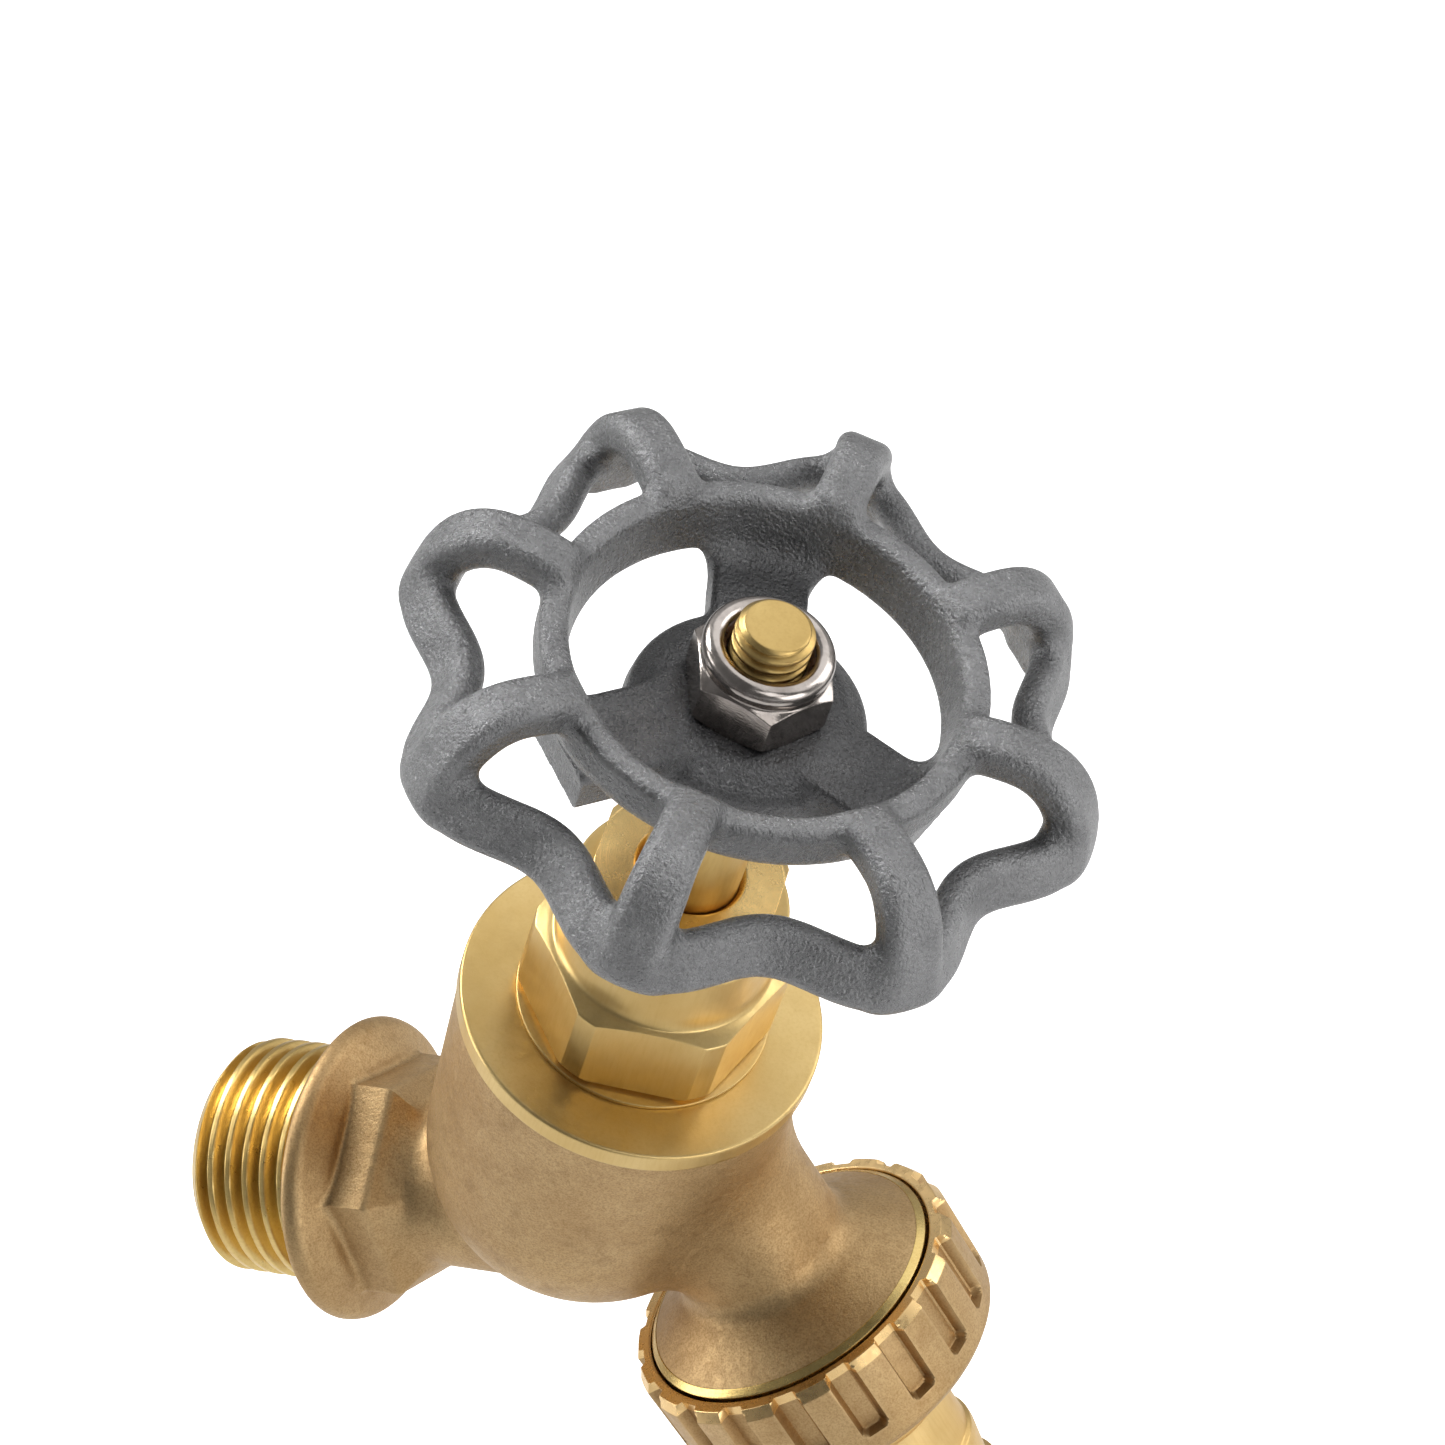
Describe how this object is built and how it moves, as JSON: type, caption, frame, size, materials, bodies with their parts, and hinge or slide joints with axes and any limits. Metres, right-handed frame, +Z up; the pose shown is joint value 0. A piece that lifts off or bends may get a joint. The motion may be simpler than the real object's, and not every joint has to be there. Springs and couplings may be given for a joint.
{
  "type": "hose bib",
  "caption": "Brass hose bib with threaded inlet, leaning stem, lobed handwheel and a swivel union nut holding a barbed hose tail; the handwheel screws the valve disc off its seat.",
  "frame": {"origin": "centre of the inlet thread where it meets the shoulder", "axes": "the inlet points along -X, +Z is up, and the stem and spout lie in the XZ plane"},
  "size_m": [0.0924, 0.0554, 0.1219],
  "materials": {
    "cast_brass": "sand-cast, shot-blasted, matte",
    "machined_brass": "turned, satin",
    "powder_coat": "grey powder coat on a rough casting, satin",
    "stainless": "polished stainless steel",
    "spring_steel": "drawn wire",
    "nylon": "moulded nylon",
    "packing": "PTFE",
    "seal_rubber": "moulded rubber"
  },
  "bodies": {
    "valve": {"valve_body": "cast_brass", "bonnet": "machined_brass", "bonnet_o_ring": "seal_rubber", "packing_washer": "machined_brass", "packing_ring_lower": "packing", "packing_ring_upper": "packing", "packing_follower": "machined_brass", "gland_nut": "machined_brass"},
    "disc": {"disc_holder": "machined_brass", "jumper_clip": "spring_steel", "seat_washer": "seal_rubber", "washer_plate": "machined_brass", "washer_nut": "machined_brass"},
    "spindle": {"stem": "machined_brass", "handwheel": "powder_coat", "lock_nut": "stainless", "lock_nut_insert": "nylon"},
    "hose_end": {"hose_tail": "machined_brass", "hose_gasket": "seal_rubber"},
    "swivel_nut": {"union_nut": "cast_brass"}
  },
  "joints": [
    {"name": "stem_lift", "type": "slide", "parent": "valve", "child": "disc", "axis": [0.5, 0, 0.866], "range_m": [0, 0.006]},
    {"name": "handwheel_turn", "type": "hinge", "parent": "disc", "child": "spindle", "pos_m": [0.0215, 0, 0], "axis": [0.5, 0, 0.866], "range_deg": [0, 1080]},
    {"name": "tail_slide", "type": "slide", "parent": "valve", "child": "hose_end", "axis": [0.2588, 0, -0.9659], "range_m": [0, 0.00544]},
    {"name": "union_nut_turn", "type": "hinge", "parent": "hose_end", "child": "swivel_nut", "pos_m": [0.04027, 0, -0.0075], "axis": [0.2588, 0, -0.9659], "range_deg": [0, 1080]}
  ],
  "couplings": [
    {"joint": "stem_lift", "follows": "handwheel_turn", "m_per_rad": 0.0003183},
    {"joint": "tail_slide", "follows": "union_nut_turn", "m_per_rad": 0.0002887}
  ]
}
